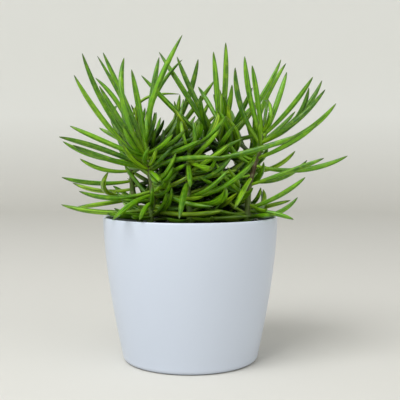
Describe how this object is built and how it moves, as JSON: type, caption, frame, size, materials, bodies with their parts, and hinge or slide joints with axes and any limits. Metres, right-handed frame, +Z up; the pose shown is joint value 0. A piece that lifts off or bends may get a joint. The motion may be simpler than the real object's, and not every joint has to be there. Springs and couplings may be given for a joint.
{
  "type": "potted plant",
  "caption": "Potted senecio: leafy stems with round finger-like leaves standing in potting mix in a plain white tapered planter.",
  "frame": {"origin": "centre of the planter's flat underside, on the surface it stands on", "axes": "+Z up, -Y towards the front, +X to the right seen from the front"},
  "size_m": [0.209, 0.1643, 0.239],
  "materials": {
    "white_planter": "smooth, softly glossy",
    "potting_mix": "crumbly, matt",
    "leaf_green": "waxy, softly shining"
  },
  "bodies": {
    "root": {"pot": "white_planter", "soil": "potting_mix", "leafy_stem_front_left": "leaf_green", "leafy_stem_back_left": "leaf_green", "leafy_stem_back_middle": "leaf_green", "leafy_stem_middle_right": "leaf_green", "leafy_stem_back_right": "leaf_green", "leafy_stem_front_right": "leaf_green", "leafy_stem_front_middle": "leaf_green"}
  },
  "joints": []
}
